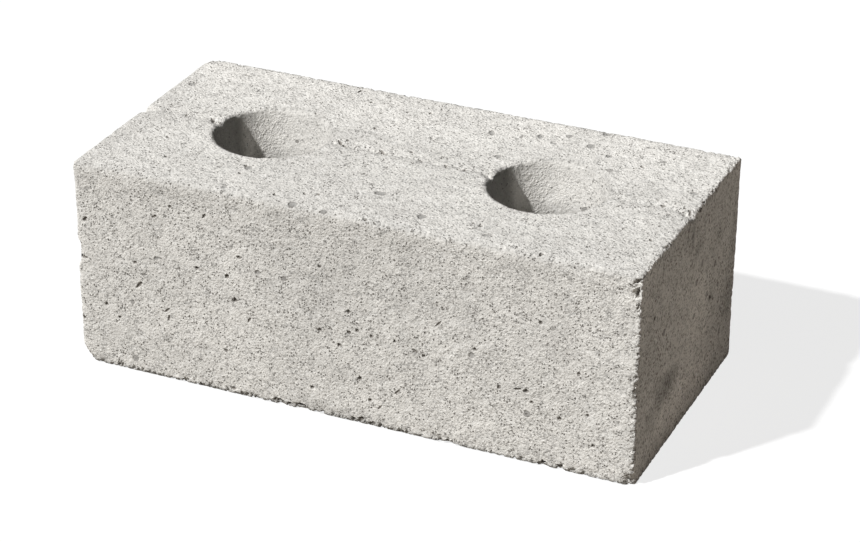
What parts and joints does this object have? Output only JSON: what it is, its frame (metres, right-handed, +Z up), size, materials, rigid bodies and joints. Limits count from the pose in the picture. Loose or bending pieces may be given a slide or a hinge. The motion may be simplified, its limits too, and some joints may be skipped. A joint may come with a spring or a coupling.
{
  "type": "concrete block",
  "caption": "Solid dry-cast concrete wall block with tapered round grip sockets and a shallow nicked core-bar mark along the top.",
  "frame": {"origin": "middle of the bed, the flat face the block rests on", "axes": "+X along the block's length, +Y from the front long face to the back one, +Z up through the sockets' mouths"},
  "size_m": [0.28, 0.135, 0.105],
  "materials": {
    "concrete": "matt dry-cast concrete, pale warm grey, sandy and pitted"
  },
  "bodies": {
    "root": {"block": "concrete"}
  },
  "joints": []
}
